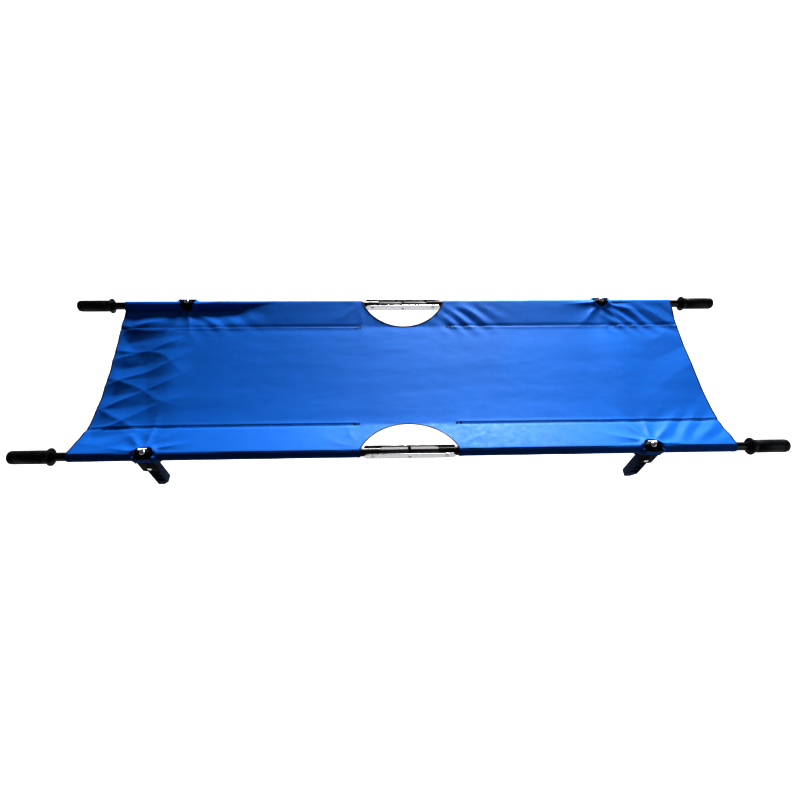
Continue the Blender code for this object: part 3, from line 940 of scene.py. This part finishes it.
def make_sleeve(side, half, fabric):
    sign = SIDES[side]
    low, high = sorted((HALVES[half] * SLEEVE_START, HALVES[half] * BED_END))
    columns = cloth_columns(low, high, fabric.spacing)
    angles = np.linspace(-math.pi, math.pi, 49)
    sleeve = gridded(
        f"{side}_{half}_sleeve_cloth", columns, angles,
        lambda x, angle: sleeve_points(x, angle, sign, half))
    foot_x = FEET_X[half]

    def on_strip(p):
        """Whether a place is on the strip that crosses the outside of the bracket."""
        return sign * p.y > POLE_Y and STRIP_LOW < p.z - POLE_Z < STRIP_HIGH

    delete_faces(sleeve, lambda p: abs(p.x - foot_x) < NOTCH_HALF and not on_strip(p))
    turn_faces_out(sleeve)
    thicken(sleeve, fabric.thickness)
    smooth(sleeve, 60)
    finish_piece(sleeve, f"{side}_{half}", FINISHES["cloth"], "fabric", f"{side}_{half}_sleeve")
    return sleeve


class STRETCHER_OT_sleeves(bpy.types.Operator):
    """Make the cloth tunnels round the poles"""
    bl_idname = "stretcher.sleeves"
    bl_label = "Sleeves"

    def execute(self, context):
        for side, half in CORNERS:
            make_sleeve(side, half, context.scene.stretcher_fabric)
        return {"FINISHED"}


# ---------------------------------------------------------------- poles and grips

def extruded_round(name, profile, sides):
    """A round solid along +X, made by extruding a disc through (along, radius) points."""
    along, radius = profile[0]
    deselect_all()
    bpy.ops.mesh.primitive_circle_add(
        vertices=sides, radius=radius, fill_type="NGON", location=(along, 0, 0),
        rotation=(0, math.pi / 2, 0))
    obj = settle(take(name))
    bpy.ops.object.mode_set(mode="EDIT")
    bpy.ops.mesh.select_all(action="SELECT")
    for next_along, next_radius in profile[1:]:
        bpy.ops.mesh.extrude_region_move(
            TRANSFORM_OT_translate={"value": (next_along - along, 0, 0)})
        scale = next_radius / radius
        bpy.ops.transform.resize(
            value=(1, scale, scale), center_override=(next_along, 0, 0))
        along, radius = next_along, next_radius
    bpy.ops.object.mode_set(mode="OBJECT")
    return turn_faces_out(obj)


AXIS_TURN = {
    "X": Matrix.Identity(4),
    "Y": Matrix.Rotation(math.pi / 2, 4, "Z"),
    "Z": Matrix.Rotation(-math.pi / 2, 4, "Y"),
}


def make_pole(side, half, hardware):
    low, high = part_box(f"{side}_{half}_tube")
    deselect_all()
    bpy.ops.mesh.primitive_cylinder_add(
        vertices=hardware.sides, radius=TUBE_R, depth=high.x - low.x, end_fill_type="NOTHING",
        location=(low + high) / 2, rotation=(0, math.pi / 2, 0))
    pole = settle(take(f"{side}_{half}_pole"))
    thicken(pole, 0.0015)
    round_edges(pole, 0.0003, 2, 60)
    smooth(pole)
    return finish_piece(pole, f"{side}_{half}", FINISHES["paint"], "tube", f"{side}_{half}_tube")


GRIP_PROFILE = (
    (0.0045, 0.0130), (0.0030, 0.0170), (0.0012, 0.0212), (0.0000, 0.0236), (0.0002, 0.0244),
    (0.0009, 0.0249), (0.0022, 0.0250), (0.0034, 0.0246), (0.0048, 0.0232), (0.0060, 0.0212),
    (0.0074, 0.0198), (0.0092, 0.0192), (0.0120, 0.0190), (0.0150, 0.0190), (0.0156, 0.0185),
    (0.0172, 0.0185), (0.0178, 0.0190), (0.0500, 0.0191), (0.0930, 0.0190), (0.0936, 0.0185),
    (0.0952, 0.0185), (0.0958, 0.0190), (0.1030, 0.0189), (0.1070, 0.0185), (0.1098, 0.0175),
    (0.1117, 0.0158), (0.1127, 0.0136), (0.1130, 0.0110), (0.1126, 0.0060),
)


def make_grips(hardware):
    """One grip is turned, then copied onto the four ends."""
    grip = extruded_round("grip_pattern", GRIP_PROFILE, hardware.sides)
    smooth(grip, 40)
    for side, half in CORNERS:
        sign = HALVES[half]
        low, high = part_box(f"{side}_{half}_grip")
        inner = low.x if sign > 0 else high.x
        place = Matrix.Translation((inner, SIDES[side] * POLE_Y, POLE_Z))
        place = place @ Matrix.Diagonal((sign, 1, 1, 1))
        piece = copy_piece(grip, f"{side}_{half}_hand_grip", place)
        finish_piece(piece, f"{side}_{half}", FINISHES["rubber"], "rubber", f"{side}_{half}_grip")
    drop(grip)


class STRETCHER_OT_poles(bpy.types.Operator):
    """Make the four pole halves and their hand grips"""
    bl_idname = "stretcher.poles"
    bl_label = "Poles and grips"

    def execute(self, context):
        hardware = context.scene.stretcher_hardware
        for side, half in CORNERS:
            make_pole(side, half, hardware)
        make_grips(hardware)
        return {"FINISHED"}


# ---------------------------------------------------------------- brackets and feet

BRACKET_HALF = 0.0225
BRACKET_R = 0.0175
BRACKET_TOP = 0.0197
CHEEK_BOTTOM = -0.062
FOOT_HALF_X, FOOT_HALF_Y = 0.0180, 0.012
SLOT_TOP = -0.0205
FOOT_BOLT_Z = -0.045
EAR_Z = {side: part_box(f"left_{side}_spreader_bar")[0].z - 0.0003 for side in SIDES}


def make_bracket(side, hardware):
    """A moulded clamp at the origin of its pole's axis: a rounded hump, two cheeks and an ear."""
    inward = -SIDES[side]
    deselect_all()
    bpy.ops.mesh.primitive_uv_sphere_add(segments=48, ring_count=24, radius=1, location=(0, 0, 0))
    hump = take(f"{side}_bracket_pattern")
    hump.scale = (BRACKET_HALF + 0.004, BRACKET_R + 0.0006, BRACKET_TOP)
    settle(hump)
    trim = block("trim", (-BRACKET_HALF, -0.03, -0.03), (BRACKET_HALF, 0.03, 0.03), 0.004, "Y")
    combine(hump, trim, "INTERSECT")
    collar = rod("collar", "X", (0, 0, 0), 0.0158, -BRACKET_HALF, BRACKET_HALF, 48)
    round_edges(collar, 0.0014, 2)
    combine(hump, collar, "UNION")
    cheeks = block("cheeks", (-BRACKET_HALF, -BRACKET_R, CHEEK_BOTTOM),
                   (BRACKET_HALF, BRACKET_R, -0.004), 0.007, "Y")
    combine(hump, cheeks, "UNION")
    for across in (-1, 1):
        rib = block("rib", (-0.0015, across * BRACKET_R - 0.0009, CHEEK_BOTTOM + 0.028),
                    (0.0015, across * BRACKET_R + 0.0009, -0.012), 0.0006)
        combine(hump, rib, "UNION")
        boss = rod("boss", "Y", (0, 0, FOOT_BOLT_Z), 0.0085, across * BRACKET_R - 0.001,
                   across * BRACKET_R + 0.0009, 32)
        combine(hump, boss, "UNION")
    top = EAR_Z[side] - POLE_Z
    ear = block("ear", (-0.012, -0.012, top - 0.006), (0.012, SPREADER_INSET - 0.003, top), 0.0)
    tip = rod("tip", "Z", (0, SPREADER_INSET, 0), 0.012, top - 0.006, top, 40)
    combine(ear, tip, "UNION")
    ear.data.transform(Matrix.Diagonal((1, inward, 1, 1)))
    if inward < 0:
        ear.data.flip_normals()
    combine(hump, ear, "UNION")
    combine(hump, rod("bore", "X", (0, 0, 0), TUBE_R + 0.0002, -0.04, 0.04, 48))
    slot = block("slot", (-0.04, -FOOT_HALF_Y - 0.0004, CHEEK_BOTTOM - 0.01),
                 (0.04, FOOT_HALF_Y + 0.0004, SLOT_TOP), 0.002, "X", 3)
    combine(hump, slot)
    combine(hump, rod("seat", "Z", (0, 0, 0), 0.0092, BRACKET_TOP - 0.0006, BRACKET_TOP + 0.01, 32))
    return soften(hump, hardware.edge)


def make_foot(hardware):
    """A moulded foot at the origin of its pole's axis, with pockets between cross ribs."""
    sole = -POLE_Z
    foot = block("foot_pattern", (-FOOT_HALF_X, -FOOT_HALF_Y, sole),
                 (FOOT_HALF_X, FOOT_HALF_Y, SLOT_TOP - 0.0005))
    heel = block("heel", (-0.03, -0.03, -0.03), (0.03, 0.03, 0.0))
    run = Vector((FOOT_HALF_X - 0.001, 0, 0.016))
    heel.data.transform(Matrix.Translation((0.001, 0, sole))
                        @ Matrix.Rotation(-math.atan2(run.z, run.x), 4, "Y"))
    combine(foot, heel)
    round_edges(foot, 0.0022, 3, 30)
    pockets = []
    for face in (-1, 1):
        for low, high in ((0.024, 0.046), (0.049, 0.071), (0.074, 0.092)):
            ys = sorted((face * 0.003, face * (FOOT_HALF_Y + 0.01)))
            pockets.append(block("pocket", (-FOOT_HALF_X + 0.0045, ys[0], sole + low),
                                 (FOOT_HALF_X - 0.0045, ys[1], sole + high), 0.0016, "Y", 3))
    for pocket in pockets:
        combine(foot, pocket)
    for ridge in (-0.0105, -0.0035, 0.0035):
        groove = block("groove", (ridge - 0.0009, -0.03, sole - 0.01),
                       (ridge + 0.0009, 0.03, sole + 0.0012))
        combine(foot, groove)
    return soften(foot, hardware.edge * 0.7)


def dome_profile():
    """The domed bolt: its shank, a thin rim and a smooth cap, as (along, radius) points."""
    points = [(-0.0195, 0.0028), (0.0180, 0.0030), (0.0191, 0.0084), (0.0198, 0.0087)]
    for step in range(1, 13):
        turn = math.radians(7.3 * step)
        points.append((0.0198 + 0.0064 * math.sin(turn), 0.0087 * math.cos(turn)))
    return points


def headed_profile(half_span, shank, head, rise):
    """A rivet between two domed heads, as (along, radius) points."""
    one_end = [(half_span, shank), (half_span, head), (half_span + rise * 0.35, head),
               (half_span + rise * 0.75, head * 0.78), (half_span + rise * 0.95, head * 0.42),
               (half_span + rise, head * 0.1)]
    return [(-along, radius) for along, radius in reversed(one_end)] + one_end


def place_copies(pattern, kind, axis, finish, slot, corners=CORNERS, ending=None):
    """Copies a piece made at the origin onto the corners' CAD nodes of this kind."""
    for side, half in corners:
        place = Matrix.Translation((FEET_X[half], SIDES[side] * POLE_Y, POLE_Z)) @ AXIS_TURN[axis]
        piece = copy_piece(pattern, f"{side}_{half}_{ending or kind + '_looks'}", place)
        finish_piece(piece, f"{side}_{half}", FINISHES[finish], slot, f"{side}_{half}_{kind}")
    drop(pattern)


class STRETCHER_OT_brackets(bpy.types.Operator):
    """Make the four pole brackets, their domed bolts, and the feet with their bolts"""
    bl_idname = "stretcher.brackets"
    bl_label = "Brackets and feet"

    def execute(self, context):
        hardware = context.scene.stretcher_hardware
        for side in SIDES:
            place_copies(make_bracket(side, hardware), "bracket", "X", "bracket", "plastic",
                         [(side, half) for half in HALVES], "clamp")
        place_copies(make_foot(hardware), "foot", "X", "foot", "plastic")
        dome = smooth(extruded_round("dome_pattern", dome_profile(), 48), 40)
        place_copies(dome, "dome_bolt", "Z", "chrome", "chrome")
        profile = headed_profile(BRACKET_R + 0.0009, 0.003, 0.0062, 0.0028)
        bolt = extruded_round("bolt_pattern", profile, 32)
        bolt.data.transform(Matrix.Translation((0, 0, FOOT_BOLT_Z)) @ AXIS_TURN["Y"])
        place_copies(smooth(bolt, 40), "foot_bolt", "X", "plate", "steel")
        return {"FINISHED"}


# ---------------------------------------------------------------- middle joints and spreaders

def finish_node(obj, finish, slot, node):
    return finish_piece(obj, BODY_OF[node], FINISHES[finish], slot, node)


def make_turned(node, axis, profile, finish, slot):
    """A round piece along one axis, in the middle of its CAD node."""
    turned = extruded_round(f"{node}_looks", profile, 32)
    turned.data.transform(Matrix.Translation(middle(node)) @ AXIS_TURN[axis])
    return finish_node(smooth(turned, 40), finish, slot, node)


def make_rivet(node, axis):
    """A domed rivet the size of its CAD node."""
    low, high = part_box(node)
    index = "XYZ".index(axis)
    size = high - low
    head = max(size[i] for i in range(3) if i != index) / 2
    rise = min(0.0022, 0.3 * head + 0.0004)
    half_span = size[index] / 2 - rise
    profile = headed_profile(half_span, head * 0.6, head, rise)
    return make_turned(node, axis, profile, "chrome", "chrome")


def make_plate(node):
    """A flat steel link with round ends, sized from its CAD node."""
    low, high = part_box(node)
    radius = (high.z - low.z) / 2
    plate = block(f"{node}_looks", low, high, radius * 0.999, "Y", 12)
    return finish_node(soften(plate, 0.0005), "plate", "steel", node)


def make_tongue(node):
    """The black steel tongue of a pole, with rounded long edges and a rounded nose."""
    tongue = block(f"{node}_looks", *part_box(node), 0.0034, "X", 5)
    return finish_node(soften(tongue, 0.0012, 3, 50), "dark", "dark_steel", node)


def make_spreader_bar(node):
    """A flat bar with full round ends and a rolled rib along its middle."""
    low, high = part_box(node)
    radius = (high.x - low.x) / 2
    bar = block(f"{node}_looks", low, high, radius * 0.995, "Z", 10)
    for across in (-1, 1):
        groove = block("groove", (0, 0, 0), (0.0012, 1, 0.0007))
        groove.data.transform(Matrix.Translation((
            (low.x + high.x) / 2 + across * 0.0045 - 0.0006, low.y + 0.03, high.z - 0.0005))
            @ Matrix.Diagonal((1, high.y - low.y - 0.06, 2.0, 1)))
        combine(bar, groove)
    return finish_node(soften(bar, 0.0004), "plate", "steel", node)


def make_stop_sleeve(node):
    """The black tube round a stop bolt, with a lip at each end."""
    low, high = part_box(node)
    radius, half = (high.z - low.z) / 2, (high.y - low.y) / 2
    profile = ((-half, radius * 0.8), (-half + 0.0003, radius), (-half + 0.002, radius),
               (-half + 0.0024, radius * 0.9), (half - 0.0024, radius * 0.9),
               (half - 0.002, radius), (half - 0.0003, radius), (half, radius * 0.8))
    return make_turned(node, "Y", profile, "dark", "dark_steel")


class STRETCHER_OT_joints(bpy.types.Operator):
    """Make the middle joints' plates, tongues, rivets and stops, and the spreader bars"""
    bl_idname = "stretcher.joints"
    bl_label = "Joints and spreaders"

    def execute(self, context):
        for side in SIDES:
            for part in ("outer", "inner"):
                make_plate(f"{side}_{part}_plate")
            make_stop_sleeve(f"{side}_stop_sleeve")
            make_rivet(f"{side}_stop_bolt", "Y")
            for half in HALVES:
                make_tongue(f"{side}_{half}_tongue")
                make_rivet(f"{side}_{half}_pivot_pin", "Y")
                make_rivet(f"{side}_{half}_spreader_pin", "Z")
                make_spreader_bar(f"{half}_{side}_spreader_bar")
        for half in HALVES:
            make_rivet(f"{half}_knee_rivet", "Z")
        return {"FINISHED"}


# ---------------------------------------------------------------- stage

def add_light(name, place, aim, size, power, colour):
    deselect_all()
    bpy.ops.object.light_add(type="AREA", location=place)
    light = bpy.context.object
    light.name = name
    light.data.shape = "RECTANGLE"
    light.data.size, light.data.size_y = size
    light.data.energy = power
    light.data.color = colour
    light.rotation_euler = (Vector(aim) - Vector(place)).to_track_quat("-Z", "Y").to_euler()
    return light


def make_floor(stage):
    """A pale floor that lets most light through, so that it takes only a faint shadow."""
    deselect_all()
    bpy.ops.mesh.primitive_plane_add(size=stage.floor_size, location=(0, 0, -0.0005))
    floor = settle(take("studio_floor"))
    f = Finish("Pale floor")
    f.set(roughness=0.9, base_color=(0.86, 0.86, 0.86, 1.0), alpha=0.07)
    floor.data.materials.append(f.material)


def make_world():
    """White behind and below everything, and only a dim light from all round."""
    world = bpy.data.worlds.new("Studio")
    bpy.context.scene.world = world
    world.use_nodes = True
    tree = world.node_tree
    tree.nodes.clear()

    def add(kind):
        return tree.nodes.new(kind)

    def background(colour, strength):
        node = add("ShaderNodeBackground")
        node.inputs["Color"].default_value = (*colour, 1.0)
        node.inputs["Strength"].default_value = strength
        return node.outputs["Background"]

    def mixed(fac, first, second):
        node = add("ShaderNodeMixShader")
        tree.links.new(fac, node.inputs["Fac"])
        tree.links.new(first, node.inputs[1])
        tree.links.new(second, node.inputs[2])
        return node.outputs["Shader"]

    path = add("ShaderNodeLightPath")
    facing = add("ShaderNodeSeparateXYZ")
    tree.links.new(add("ShaderNodeTexCoord").outputs["Generated"], facing.inputs["Vector"])
    below = add("ShaderNodeMath")
    below.operation = "LESS_THAN"
    below.inputs[1].default_value = 0.0
    tree.links.new(facing.outputs["Z"], below.inputs[0])
    dim = background((0.90, 0.95, 1.0), 0.02)
    mirrored = mixed(below.outputs["Value"], background((0.9, 0.95, 1.0), 0.10),
                     background((1.0, 1.0, 1.0), 0.60))
    lit = mixed(path.outputs["Is Glossy Ray"], dim, mirrored)
    seen = mixed(path.outputs["Is Camera Ray"], lit, background((1.0, 1.0, 1.0), 1.25))
    out = add("ShaderNodeOutputWorld")
    tree.links.new(seen, out.inputs["Surface"])


def make_camera(stage):
    tilt, turn, roll = stage.tilt, stage.turn, stage.roll
    look = Vector((math.sin(turn) * math.cos(tilt), math.cos(turn) * math.cos(tilt), -math.sin(tilt)))
    right = look.cross(Vector((0, 0, 1))).normalized()
    up = right.cross(look)
    right, up = (right * math.cos(roll) + up * math.sin(roll),
                 up * math.cos(roll) - right * math.sin(roll))
    data = bpy.data.cameras.new("Camera")
    data.sensor_width = 36.0
    data.lens = stage.focal_length
    camera = bpy.data.objects.new("Camera", data)
    bpy.context.scene.collection.objects.link(camera)
    turned = Matrix((right, up, -look)).transposed().to_4x4()
    camera.matrix_world = Matrix.Translation(Vector(stage.eye)) @ turned
    bpy.context.scene.camera = camera


class STRETCHER_OT_stage(bpy.types.Operator):
    """Make the camera, the floor and the studio lights"""
    bl_idname = "stretcher.stage"
    bl_label = "Stage"

    def execute(self, context):
        stage = context.scene.stretcher_stage
        make_camera(stage)
        make_floor(stage)
        make_world()
        key = add_light("Key", (0.65, 2.5, 1.00), (0.30, 0.0, 0.15), (1.2, 0.7), 54, (1.0, 0.99, 0.97))
        key.data.spread = math.radians(100)
        add_light("Top", (0.90, 1.7, 2.2), (0.50, 0.0, 0.15), (1.6, 1.0), 6, (0.96, 0.98, 1.0))
        add_light("Side", (2.2, -0.9, 0.7), (0.9, -0.2, 0.1), (0.7, 0.5), 3, (0.92, 0.96, 1.0))
        view = context.scene.view_settings
        view.view_transform = "Standard"
        view.look = "High Contrast"
        view.exposure = 0.0
        return {"FINISHED"}


# ---------------------------------------------------------------- add-on

PIECES = (
    STRETCHER_OT_stage, STRETCHER_OT_poles, STRETCHER_OT_brackets, STRETCHER_OT_joints,
    STRETCHER_OT_sleeves, STRETCHER_OT_bed,
)
SETTINGS = {
    "stretcher_fabric": StretcherFabric,
    "stretcher_hardware": StretcherHardware,
    "stretcher_stage": StretcherStage,
}


class STRETCHER_PT_panel(bpy.types.Panel):
    bl_label = "Folding stretcher"
    bl_space_type = "VIEW_3D"
    bl_region_type = "UI"
    bl_category = "Stretcher"

    def draw(self, context):
        for name in SETTINGS:
            box = self.layout.box()
            settings = getattr(context.scene, name)
            for key in settings.bl_rna.properties.keys():
                if key not in {"rna_type", "name"}:
                    box.prop(settings, key)
        for operator in PIECES:
            self.layout.operator(operator.bl_idname)


def register():
    for cls in (*SETTINGS.values(), *PIECES, STRETCHER_PT_panel):
        bpy.utils.register_class(cls)
    for name, cls in SETTINGS.items():
        setattr(bpy.types.Scene, name, PointerProperty(type=cls))


def unregister():
    for name in SETTINGS:
        delattr(bpy.types.Scene, name)
    for cls in (STRETCHER_PT_panel, *reversed(PIECES), *reversed(SETTINGS.values())):
        bpy.utils.unregister_class(cls)


def main():
    register()
    scene = bpy.context.scene
    FINISHES.update(make_finishes(scene.stretcher_fabric, scene.stretcher_hardware))
    for operator in PIECES:
        name = operator.bl_idname.split(".")[1]
        getattr(bpy.ops.stretcher, name)()
    deselect_all()


if __name__ == "__main__":
    main()
